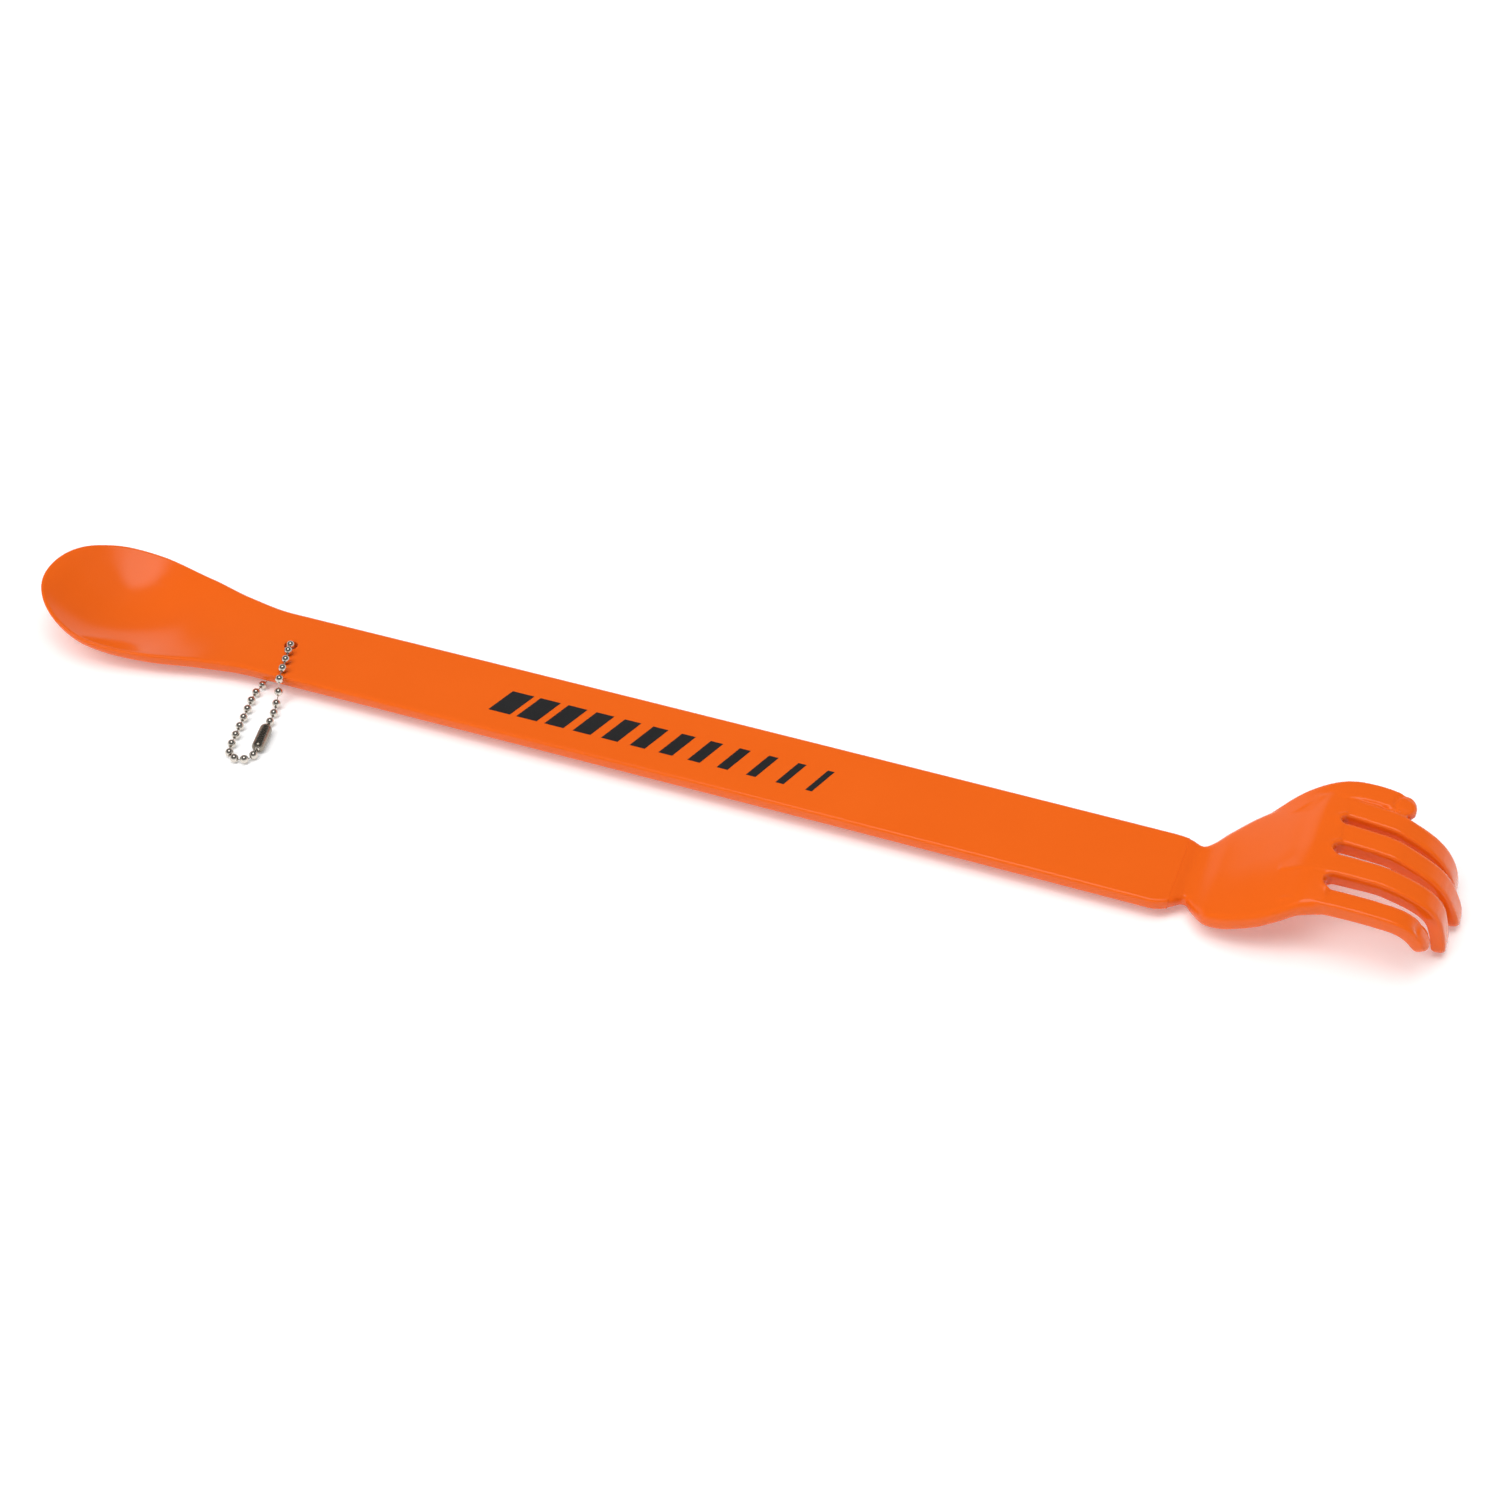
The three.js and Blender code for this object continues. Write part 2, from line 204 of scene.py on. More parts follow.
def shell(upper, lower):
    """A closed mesh from two equal grids of points, joined round their border."""
    mesh = bmesh.new()
    rows, columns = len(upper), len(upper[0])
    top = [[mesh.verts.new(p) for p in row] for row in upper]
    base = [[mesh.verts.new(p) for p in row] for row in lower]
    for i in range(rows - 1):
        for k in range(columns - 1):
            mesh.faces.new((top[i][k], top[i + 1][k], top[i + 1][k + 1], top[i][k + 1]))
            mesh.faces.new((base[i][k], base[i][k + 1], base[i + 1][k + 1], base[i + 1][k]))
    border = [(i, 0) for i in range(rows)] + [(rows - 1, k) for k in range(1, columns)]
    border += [(i, columns - 1) for i in range(rows - 2, -1, -1)]
    border += [(0, k) for k in range(columns - 2, 0, -1)]
    for (i, k), (m, n) in zip(border, border[1:] + border[:1]):
        mesh.faces.new((top[i][k], base[i][k], base[m][n], top[m][n]))
    bmesh.ops.recalc_face_normals(mesh, faces=mesh.faces)
    return mesh


def object_from(mesh, name):
    """A linked object from a bmesh."""
    data = bpy.data.meshes.new(name)
    mesh.to_mesh(data)
    mesh.free()
    thing = bpy.data.objects.new(name, data)
    bpy.context.scene.collection.objects.link(thing)
    return thing


def settle(thing):
    """Turns an object with modifiers into a plain mesh."""
    evaluated = thing.evaluated_get(bpy.context.evaluated_depsgraph_get())
    data = bpy.data.meshes.new_from_object(evaluated)
    thing.modifiers.clear()
    thing.data = data
    return thing


def even(start, end, count):
    """Even steps from a start to an end, without the end itself."""
    return [start + (end - start) * i / count for i in range(count)]


# ---- The strap and the shoehorn ------------------------------------------------------

# How far columns stand in from a side, as shares of the half-width: close at the round edge.
EDGE_SHARES = (0, 0.006, 0.018, 0.038, 0.066, 0.1, 0.16, 0.26, 0.4, 0.58, 0.78)
# How far the last sections stand before the crease.
CREASE_STEPS = (1.6, 1.2, 0.8, 0.5, 0.3, 0.16, 0.06, 0)
# Sections of the blade's round end, in degrees from its tip.
TIP_TURNS = (0.8, 2, 3.5, 5, 7, 9, 11, 13, 15.5, 18, 21, 25, 29, *range(34, 85, 5))
CREASE_RADIUS = 0.14
BLADE_TIP_INSET = 0.03  # keeps the first section inside the CAD's tip


def column_shares():
    """Where the columns stand across a section, from -1 to 1 and dense at the edges."""
    side = [1 - s for s in EDGE_SHARES]
    return [-s for s in side] + [0.0] + side[::-1]


def strap_stations():
    """Where the sections stand along the blade and the strap."""
    reach = BLADE_WIDEST_X - BLADE_TIP_X - BLADE_TIP_INSET
    tip = [BLADE_WIDEST_X - reach * math.cos(math.radians(turn)) for turn in TIP_TURNS]
    blade = even(BLADE_WIDEST_X, BLADE_ROOT_X, 26)
    strap = even(BLADE_ROOT_X, FLARE_X, 42)
    wrist = even(FLARE_X, CREASE_X - CREASE_STEPS[0], 6)
    return tip + blade + strap + wrist + [CREASE_X - step for step in CREASE_STEPS]


def strap_and_shoehorn(edge):
    """The blade and the strap, up to the crease at the wrist."""
    upper, lower = [], []
    for x in strap_stations():
        rows = [], []
        half = (far_at(x) - near_at(x)) / 2
        middle = (far_at(x) + near_at(x)) / 2
        for share in column_shares():
            y = middle + half * share
            lift = rim_rise(x) - trough(x) * (1 - share * share)
            thick = thickness_at(x)
            centre = STRAP_TOP + lift + hand_rise(x) + arch_at(x) - thick / 2
            tall = edge_height(thick, edge, border_distance(x, y))
            tall -= thick / 2 - edge_height(thick, CREASE_RADIUS, CREASE_X - x)
            rows[0].append(at(x, y, centre + tall))
            rows[1].append(at(x, y, centre - tall))
        upper.append(rows[0])
        lower.append(rows[1])
    return object_from(shell(upper, lower), "strap_and_shoehorn")


def turned(profile, name, segments):
    """A closed solid of revolution about Z from (radius, height) points, in metres."""
    mesh = bmesh.new()
    rings = []
    for radius, height in profile:
        if radius < 1e-9:
            rings.append([mesh.verts.new((0, 0, height))])
            continue
        turns = [2 * math.pi * k / segments for k in range(segments)]
        rings.append([mesh.verts.new((radius * math.cos(a), radius * math.sin(a), height))
                      for a in turns])
    for one, two in zip(rings, rings[1:]):
        for k in range(segments):
            m = (k + 1) % segments
            corners = [one[k % len(one)], one[m % len(one)], two[m % len(two)], two[k % len(two)]]
            face = list(dict.fromkeys(corners))
            if len(face) > 2:
                mesh.faces.new(face)
    bmesh.ops.recalc_face_normals(mesh, faces=mesh.faces)
    return object_from(mesh, name)


HOLE_LIP = 0.35      # radius of the round lip at the hang hole
HOLE_SWELL = 0.03    # the strap's swell at the hole, near one end of its arch
DRILL_SPARE = 2      # how far the drill reaches past both faces


def hang_hole_drill():
    """The hole's shape, with a small round lip at both faces of the strap."""
    top = STRAP_TOP + HOLE_SWELL
    base = top - STRAP_THICKNESS
    wide = HOLE_RADIUS + HOLE_LIP
    arc = [(wide - HOLE_LIP * math.cos(a), HOLE_LIP * (1 - math.sin(a)))
           for a in (0, 0.3, 0.6, 0.9, 1.2, math.pi / 2)]
    lower = [(r, base + depth) for r, depth in reversed(arc)]
    upper = [(r, top - depth) for r, depth in arc]
    low, high = base - DRILL_SPARE, top + DRILL_SPARE
    profile = [(0, low), (wide, low)] + lower + upper + [(wide, high), (0, high)]
    drill = turned([(r * MM, z * MM) for r, z in profile], "drill", 48)
    drill.data.transform(Matrix.Translation(FLOOR))
    return drill


# ---- The hand ------------------------------------------------------------------------
# A digit's points are (along, across, rise over the strap's upper face), down its middle.

DIGITS = {
    "little": [(268, -7.4, 5.2), (274, -7.5, 8.3), (279, -7.6, 9), (285, -7.6, 9.2),
               (292, -7.6, 9), (298, -7.6, 8.3), (300.9, -7.6, 6.9), (303.2, -7.6, 4.7),
               (305, -7.6, 1.8)],
    "ring": [(269, 2.8, 6.7), (275, 2.7, 9.7), (280, 2.6, 10.5), (286, 2.5, 10.6),
             (291.2, 2.4, 10.5), (294.4, 2.2, 10), (299.6, 1.9, 8.6), (303.2, 1.6, 7),
             (305.4, 1.5, 4.8), (306.8, 1.4, 1.4), (307.7, 1.3, -2), (308.3, 1.2, -5.9)],
    "middle": [(269, 14.2, 6.7), (275, 13.9, 9.7), (280, 13.7, 10.5), (286, 13.3, 10.6),
               (292.4, 12.7, 10.4), (295.5, 12.4, 9.5), (300.4, 11.9, 7.6), (303.8, 11.6, 5.7),
               (306.2, 11.4, 3.2), (308, 11.3, 0.2), (309.3, 11.2, -2.6), (310.2, 11.1, -5.8)],
    "index": [(269, 24.2, 6.7), (275, 23.7, 9.7), (280, 23.2, 10.5), (286, 22.6, 10.6),
              (291.8, 22, 10.4), (295, 21.6, 9.5), (299.9, 21.1, 7.4), (302.6, 20.8, 5.5),
              (304.7, 20.6, 3.1), (306.3, 20.5, 0), (307.1, 20.4, -3), (307.5, 20.3, -5.9)],
    "thumb": [(262, 19.5, 2.6), (270.5, 26.2, 8.1), (278, 29.2, 10.9), (285, 29.9, 11.2),
              (291, 29.1, 11), (295.3, 27.6, 10.4)],
}
# A digit's half-width and thickness, each at its root and at its tip.
DIGIT_SIZES = {
    "little": (3, 2.9, 4.2, 3.8),
    "ring": (3.6, 3.2, 4.8, 3.8),
    "middle": (3.6, 3.3, 4.8, 3.8),
    "index": (3.4, 3.2, 4.8, 3.8),
    "thumb": (3.2, 3.45, 3.9, 3.8),
}
NAILS = {"thumb": 5.6, "little": 6.2}  # length of a nail
SLOTS = ((18.3, 1.45), (7.95, 1.85), (-2.8, 2.05))  # middle and half-width of each slot
SLOT_CORNER = 4       # length over which the palm's end turns into a slot's round root
RIM_HEIGHT = 0.32     # the low raised rim round the root of a slot: its height,
RIM_AWAY = 0.7        # how far it is from the slot
RIM_SPREAD = 0.5      # and how wide
STRAP_EDGE = 0.9
PALM_EDGE = 1.8
PALM_EDGE_LENGTH = 8  # length over which the strap's edge grows into the palm's
PALM_END_EDGE = 1
PALM_SIDE = 0.92      # columns stand evenly over this share of the palm's half-width
NEAR_DROOP = 2.2      # how far the palm's face falls to its near side,
FAR_DROOP = 1         # and to its far side
DROOP_LENGTH = 20
OVERLAP_INSET = 0.05  # how far the palm's start is inside the strap's end,
OVERLAP_FADE = 0.8    # and the length past the crease over which that ends
DIGIT_EDGE = 0.75
TIP_EDGE = 1.5
TIP_EDGE_LENGTH = 3
TIP_INSET = 0.25      # keeps the skin of a digit's tip and faces inside its size
DIGIT_RINGS = 60


def slot_rim(x, y):
    """The low raised rim round the root of each slot between two fingers."""
    height = 0.0
    for middle, half in SLOTS:
        away = math.hypot(x - PALM_END_X - half, y - middle) - half - RIM_AWAY
        height += RIM_HEIGHT * math.exp(-(away / RIM_SPREAD) ** 2)
    return height


def slot_root(x, y):
    """How far the palm's end reaches into the corners of the slots, to make them round."""
    near_end = ramp_up(x, PALM_END_X - SLOT_CORNER, SLOT_CORNER)
    middle, half = min(SLOTS, key=lambda slot: abs(y - slot[0]) - slot[1])
    away = min(half, abs(y - middle))
    return near_end * (half - math.sqrt(half * half - away * away))


def palm_shares():
    """Columns across the palm, close together so that the round slot ends show."""
    side = [1 - s for s in EDGE_SHARES if 1 - s > PALM_SIDE]
    inner = even(-PALM_SIDE, PALM_SIDE, 92) + [PALM_SIDE]
    return [-s for s in side] + inner + side[::-1]


def palm():
    """The palm, from inside the strap's end to the roots of the digits."""
    upper, lower = [], []
    for x in even(FLARE_X, PALM_END_X, 52) + [PALM_END_X]:
        inside = OVERLAP_INSET * (1 - ramp_up(x, CREASE_X, OVERLAP_FADE))
        far, near = far_at(x) - inside, near_at(x) + inside
        half, middle = (far - near) / 2, (far + near) / 2
        thick = thickness_at(x)
        crown = ramp_up(x, WRIST_X, DROOP_LENGTH)
        edge = STRAP_EDGE + (PALM_EDGE - STRAP_EDGE) * ramp_up(x, WRIST_X, PALM_EDGE_LENGTH)
        rows = [], []
        for share in palm_shares():
            y = middle + half * share
            droop = NEAR_DROOP * share**2 if share < 0 else FAR_DROOP * share**4
            centre = STRAP_TOP + hand_rise(x) + arch_at(x) - crown * droop - thick / 2
            distance = max(0.0, border_distance(x, y) - inside)
            tall = edge_height(thick, edge, distance) - inside
            tall -= thick / 2 - edge_height(thick, PALM_END_EDGE, PALM_END_X - x)
            place = x + slot_root(x, y)
            rows[0].append(at(place, y, centre + tall + slot_rim(place, y)))
            rows[1].append(at(place, y, centre - tall))
        upper.append(rows[0])
        lower.append(rows[1])
    return shell(upper, lower)


def smooth_line(points, count):
    """Points at even steps along a smooth curve through the given ones."""
    given = [Vector(p) for p in points]
    before, after = 2 * given[0] - given[1], 2 * given[-1] - given[-2]
    chain = [before, *given, after]
    fine = []
    for four in zip(chain, chain[1:], chain[2:], chain[3:]):
        knots = [0.0]
        for a, b in zip(four, four[1:]):
            knots.append(knots[-1] + math.sqrt((b - a).length))
        fine += [spline_value(four, knots, t) for t in even(knots[1], knots[2], 16)]
    return even_steps(fine + [given[-1]], count)


def spline_value(points, knots, t):
    """A centripetal spline's point between the second and third of four points."""

    def mix(a, b, low, high):
        return a.lerp(b, (t - knots[low]) / (knots[high] - knots[low]))

    a, b, c = (mix(points[k], points[k + 1], k, k + 1) for k in range(3))
    return mix(mix(a, b, 0, 2), mix(b, c, 1, 3), 1, 2)


def even_steps(line, count):
    """Points at even lengths along a line of short straight steps."""
    lengths = [0.0]
    for a, b in zip(line, line[1:]):
        lengths.append(lengths[-1] + (b - a).length)
    result = []
    k = 0
    for i in range(count + 1):
        target = lengths[-1] * i / count
        while k < len(line) - 2 and lengths[k + 1] < target:
            k += 1
        span = max(1e-9, lengths[k + 1] - lengths[k])
        result.append(line[k].lerp(line[k + 1], (target - lengths[k]) / span))
    return result


def digit(name):
    """A finger or the thumb: flat above and below, round at its edges and its tip."""
    root_half, tip_half, root_thickness, tip_thickness = DIGIT_SIZES[name]
    tip_thickness -= TIP_INSET
    line = smooth_line(DIGITS[name], DIGIT_RINGS)
    length = sum((b - a).length for a, b in zip(line, line[1:]))
    upper, lower = [], []
    for i, centre in enumerate(line):
        along = i / DIGIT_RINGS
        ahead = (line[min(i + 1, DIGIT_RINGS)] - line[max(i - 1, 0)]).normalized()
        across = Vector((0, 1, 0))
        side = (across - ahead * across.dot(ahead)).normalized()
        up = ahead.cross(side)
        thick = root_thickness + (tip_thickness - root_thickness) * along
        left = max(0.0, length * (1 - along) - TIP_INSET)
        edge = TIP_EDGE + (DIGIT_EDGE - TIP_EDGE) * ramp_up(left, 0, TIP_EDGE_LENGTH)
        half = (root_half + (tip_half - root_half) * along) * round_end(left / tip_half)
        rows = [], []
        for share in column_shares():
            tall = edge_height(thick, edge, min(half * (1 - abs(share)), left))
            skin = centre + side * half * share + Vector((0, 0, STRAP_TOP))
            rows[0].append(at(*(skin + up * (tall - nail_sunk(name, left, share)))))
            rows[1].append(at(*(skin - up * tall)))
        upper.append(rows[0])
        lower.append(rows[1])
    return shell(upper, lower)


def round_end(left):
    """Share of the full width near a round tip, by what is left of the tip's radius."""
    least = 0.004  # so that no section shrinks to a line
    return math.sqrt(max(least, 1 - (1 - min(1.0, left)) ** 2))


NAIL_DEPTH = 0.5
NAIL_GROOVE = 0.45       # how wide the groove at the nail's root is
NAIL_BOW = 0.25          # how much the root of the nail is bowed
NAIL_SIDE = 0.72         # where the nail's sides run, as a share of the digit's half-width,
NAIL_SIDE_WIDTH = 0.1    # how wide their grooves are in the same share,
NAIL_SIDE_DEPTH = 0.8    # and how deep by the root's


def nail_sunk(name, left, share):
    """How far the groove round a nail lies under the digit's upper face."""
    if name not in NAILS:
        return 0.0
    root = NAILS[name] * (1 - NAIL_BOW * share**2)
    groove = math.exp(-((left - root) / NAIL_GROOVE) ** 2)
    if left >= root:
        return NAIL_DEPTH * groove
    side = math.exp(-((abs(share) - NAIL_SIDE) / NAIL_SIDE_WIDTH) ** 2)
    return NAIL_DEPTH * max(groove, NAIL_SIDE_DEPTH * side)


def hand(step):
    """The palm and the digits melted into one smooth skin."""
    whole = bmesh.new()
    for part in [palm()] + [digit(name) for name in DIGITS]:
        data = bpy.data.meshes.new("part")
        part.to_mesh(data)
        part.free()
        whole.from_mesh(data)
        bpy.data.meshes.remove(data)
    thing = object_from(whole, "hand")
    remesh = thing.modifiers.new("one skin", "REMESH")
    remesh.mode = "VOXEL"
    remesh.voxel_size = step
    smooth = thing.modifiers.new("soft joins", "SMOOTH")
    smooth.factor = 0.5
    smooth.iterations = 5
    return settle(thing)


def joined(thing, other, operation):
    """One solid from two."""
    change = thing.modifiers.new(operation, "BOOLEAN")
    change.operation = operation
    change.solver = "EXACT"
    change.object = other
    settle(thing)
    bpy.data.objects.remove(other)


# ---- Materials -----------------------------------------------------------------------

def link_up(tree, source, output, target, socket):
    """Joins two nodes' sockets, each given by its name or its number."""
    tree.links.new(source.outputs[output], target.inputs[socket])


def surface_marks():
    """A shader group: the faint unevenness and the fine scuffs of a handled surface."""
    name = "surface_marks"
    if name in bpy.data.node_groups:
        return bpy.data.node_groups[name]
    group = bpy.data.node_groups.new(name, "ShaderNodeTree")
    sockets = group.interface
    for label, value in (("Ripple size", 250.0), ("Scuff size", 60.0), ("Roughness", 0.2),
                         ("Scuff depth", 0.1)):
        socket = sockets.new_socket(label, in_out="INPUT", socket_type="NodeSocketFloat")
        socket.default_value = value
    sockets.new_socket("Roughness", in_out="OUTPUT", socket_type="NodeSocketFloat")
    sockets.new_socket("Height", in_out="OUTPUT", socket_type="NodeSocketFloat")
    nodes = group.nodes
    entry = nodes.new("NodeGroupInput")
    out = nodes.new("NodeGroupOutput")
    place = nodes.new("ShaderNodeTexCoord")
    ripple = nodes.new("ShaderNodeTexNoise")
    ripple.inputs["Detail"].default_value = 2
    stretch = nodes.new("ShaderNodeMapping")
    stretch.inputs["Scale"].default_value = (1, 9, 9)
    scuff = nodes.new("ShaderNodeTexNoise")
    scuff.inputs["Detail"].default_value = 8
    scuff.inputs["Roughness"].default_value = 0.7
    sharpen = nodes.new("ShaderNodeMapRange")
    sharpen.inputs["From Min"].default_value = 0.52
    sharpen.inputs["From Max"].default_value = 0.72
    depth = nodes.new("ShaderNodeMath")
    depth.operation = "MULTIPLY"
    rough = nodes.new("ShaderNodeMath")
    rough.operation = "ADD"
    link_up(group, place, "Object", ripple, "Vector")
    link_up(group, entry, "Ripple size", ripple, "Scale")
    link_up(group, place, "Object", stretch, "Vector")
    link_up(group, stretch, "Vector", scuff, "Vector")
    link_up(group, entry, "Scuff size", scuff, "Scale")
    link_up(group, scuff, "Fac", sharpen, "Value")
    link_up(group, sharpen, "Result", depth, 0)
    link_up(group, entry, "Scuff depth", depth, 1)
    link_up(group, entry, "Roughness", rough, 0)
    link_up(group, depth, "Value", rough, 1)
    link_up(group, rough, "Value", out, "Roughness")
    link_up(group, ripple, "Fac", out, "Height")
    return group


def finish(name, dark, light, ripple, scuff, roughness, scuff_depth, bump, **fixed):
    """A material of two near colours with surface marks. Fixed values go on its shader."""
    material = bpy.data.materials.new(name)
    material.use_nodes = True
    tree = material.node_tree
    shader = tree.nodes["Principled BSDF"]
    marks = tree.nodes.new("ShaderNodeGroup")
    marks.node_tree = surface_marks()
    marks.inputs["Ripple size"].default_value = ripple
    marks.inputs["Scuff size"].default_value = scuff
    marks.inputs["Roughness"].default_value = roughness
    marks.inputs["Scuff depth"].default_value = scuff_depth
    place = tree.nodes.new("ShaderNodeTexCoord")
    cloud = tree.nodes.new("ShaderNodeTexNoise")
    cloud.inputs["Scale"].default_value = 38
    cloud.inputs["Detail"].default_value = 4
    blend = tree.nodes.new("ShaderNodeMix")
    blend.data_type = "RGBA"
    blend.inputs["A"].default_value = (*dark, 1)
    blend.inputs["B"].default_value = (*light, 1)
    relief = tree.nodes.new("ShaderNodeBump")
    relief.inputs["Strength"].default_value = bump
    relief.inputs["Distance"].default_value = 0.0002
    link_up(tree, place, "Object", cloud, "Vector")
    link_up(tree, cloud, "Fac", blend, "Factor")
    tree.links.new(blend.outputs["Result"], shader.inputs["Base Color"])
    link_up(tree, marks, "Roughness", shader, "Roughness")
    link_up(tree, marks, "Height", relief, "Height")
    link_up(tree, relief, "Normal", shader, "Normal")
    for socket, value in fixed.items():
        shader.inputs[socket.replace("_", " ")].default_value = value
    return material


def orange_plastic():
    return finish("orange_plastic", dark=(0.85, 0.124, 0.006), light=(0.90, 0.140, 0.009),
                  ripple=420, scuff=70, roughness=0.12, scuff_depth=0.1, bump=0.05,
                  IOR=1.45, Specular_IOR_Level=0.4, Coat_Weight=0.06)


def bright_nickel():
    return finish("bright_nickel", dark=(0.62, 0.56, 0.49), light=(0.82, 0.77, 0.70),
                  ripple=1500, scuff=700, roughness=0.11, scuff_depth=0.15, bump=0.06,
                  Metallic=1.0)


def aged_nickel():
    return finish("aged_nickel", dark=(0.20, 0.17, 0.13), light=(0.42, 0.38, 0.32),
                  ripple=900, scuff=500, roughness=0.2, scuff_depth=0.25, bump=0.12,
                  Metallic=1.0)


def black_ink():
    return finish("black_ink", dark=(0.008, 0.008, 0.009), light=(0.02, 0.02, 0.021),
                  ripple=2500, scuff=400, roughness=0.34, scuff_depth=0.2, bump=0.15)


def pale_floor(colour):
    """A plain matt material with a little light of its own, so that the floor stays pale."""
    material = bpy.data.materials.new("pale_floor")
    material.use_nodes = True
    shader = material.node_tree.nodes["Principled BSDF"]
    shader.inputs["Base Color"].default_value = (*colour, 1)
    shader.inputs["Roughness"].default_value = 0.7
    shader.inputs["Emission Color"].default_value = (1, 1, 1, 1)
    shader.inputs["Emission Strength"].default_value = 0.2
    return material


def shade(thing, sharp):
    """Smooth shading, but for edges that turn by more than an angle in degrees."""
    thing.data.shade_smooth()
    thing.data.set_sharp_from_angle(angle=math.radians(sharp))


def wear(thing, material):
    """Gives a piece its material, in place of any other."""
    thing.data.materials.clear()
    thing.data.materials.append(material)


def emptied(name):
    """Clears away an earlier piece of this name, so that an operator can run again."""
    if name in bpy.data.objects:
        bpy.data.objects.remove(bpy.data.objects[name])


# ---- Geometry Nodes helpers ----------------------------------------------------------

def node_tree(name, inputs):
    """A geometry tree with a Geometry input and output and named, defaulted inputs."""
    tree = bpy.data.node_groups.new(name, "GeometryNodeTree")
    face = tree.interface
    face.new_socket("Geometry", in_out="INPUT", socket_type="NodeSocketGeometry")
    for label, kind, value in inputs:
        socket = face.new_socket(label, in_out="INPUT", socket_type="NodeSocket" + kind)
        if value is not None:
            socket.default_value = value
    face.new_socket("Geometry", in_out="OUTPUT", socket_type="NodeSocketGeometry")
    return tree, tree.nodes.new("NodeGroupInput"), tree.nodes.new("NodeGroupOutput")


def add(tree, kind, **settings):
    """A new node with its settings."""
    node = tree.nodes.new(kind)
    for key, value in settings.items():
        setattr(node, key, value)
    return node


def close_tree(tree, entry, out, last):
    """Ends a tree with real geometry in the given material."""
    real = add(tree, "GeometryNodeRealizeInstances")
    paint = add(tree, "GeometryNodeSetMaterial")
    tree.links.new(last, real.inputs[0])
    tree.links.new(real.outputs[0], paint.inputs["Geometry"])
    link_up(tree, entry, "Material", paint, "Material")
    tree.links.new(paint.outputs[0], out.inputs[0])


def grown(thing, tree, values):
    """Runs a geometry tree on an object and leaves a plain mesh."""
    modifier = thing.modifiers.new("grow", "NODES")
    modifier.node_group = tree
    for item in tree.interface.items_tree:
        if item.in_out == "INPUT" and item.name in values:
            modifier[item.identifier] = values[item.name]
    return settle(thing)


# ---- The ball chain ------------------------------------------------------------------

MOUTH_REACH = 1.13 * MM    # from a bead's centre to the mouth that a link goes in by
BEAD_COUNT = 27
CLASPED_BEADS = ("bead_10", "bead_11")
BEAD_STIFFNESS = 6         # how much more a bead keeps its way than a link turns it
EASE_ROUNDS = 60
LINK_HEAD = 2.1            # a link's end balls against its wire


def node_centre(name):
    """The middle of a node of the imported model, from its corners."""
    corners = {tuple(round(c, 7) for c in v.co) for v in frame["nodes"][name].data.vertices}
    return sum((Vector(c) for c in corners), Vector()) / len(corners)


def chain_run():
    """Every bead's centre and axis, and every link's middle and direction, by node name."""
    beads = range(BEAD_COUNT)
    centres = [node_centre(f"bead_{i + 1:02}") for i in beads]

    def link_ends(i):
        """Where the link after a bead leaves it, and where it goes into the next bead."""
        following = (i + 1) % BEAD_COUNT
        start = centres[i] + ways[i] * MOUTH_REACH
        return start, centres[following] - ways[following] * MOUTH_REACH

    steps = [(centres[(i + 1) % BEAD_COUNT] - centres[i]).normalized() for i in beads]
    ways = [(steps[i - 1] + steps[i]).normalized() for i in beads]
    for _ in range(EASE_ROUNDS):
        ends = [link_ends(i) for i in beads]
        links = [(end - start).normalized() for start, end in ends]
        ways = [(ways[i] * BEAD_STIFFNESS + links[i] + links[i - 1]).normalized() for i in beads]
    run = {}
    for i in beads:
        start, end = link_ends(i)
        run[f"bead_{i + 1:02}"] = centres[i], ways[i]
        run[f"link_{i + 1:02}"] = (start + end) / 2, (end - start).normalized()
    return run


def ball_chain_tree():
    """Beads and wire links set on points, each turned along its point's own way."""
    tree, entry, out = node_tree("ball_chain", [
        ("Bead radius", "Float", 0.00115),
        ("Mouth radius", "Float", 0.0003),
        ("Dimple", "Float", 0.45),
        ("Wire radius", "Float", 0.00013),
        ("Link length", "Float", 0.0023),
        ("Material", "Material", None),
    ])
    way = add(tree, "GeometryNodeInputNamedAttribute", data_type="FLOAT_VECTOR")
    way.inputs["Name"].default_value = "way"
    wire = add(tree, "GeometryNodeInputNamedAttribute", data_type="BOOLEAN")
    wire.inputs["Name"].default_value = "is_link"
    turn = add(tree, "FunctionNodeAlignRotationToVector", axis="Z")
    link_up(tree, way, "Attribute", turn, "Vector")
    ball = add(tree, "GeometryNodeMeshUVSphere")
    ball.inputs["Segments"].default_value = 28
    ball.inputs["Rings"].default_value = 18
    link_up(tree, entry, "Bead radius", ball, "Radius")
    dimple = dimpled(tree, entry, ball.outputs["Mesh"])
    rod = link_shape(tree, entry)
    group = add(tree, "GeometryNodeSeparateGeometry", domain="POINT")
    link_up(tree, entry, "Geometry", group, "Geometry")
    link_up(tree, wire, "Attribute", group, "Selection")
    both = add(tree, "GeometryNodeJoinGeometry")
    for points, shape in (("Selection", rod), ("Inverted", dimple)):
        spread = add(tree, "GeometryNodeInstanceOnPoints")
        link_up(tree, group, points, spread, "Points")
        tree.links.new(shape, spread.inputs["Instance"])
        link_up(tree, turn, "Rotation", spread, "Rotation")
        tree.links.new(spread.outputs[0], both.inputs[0])
    close_tree(tree, entry, out, both.outputs[0])
    return tree


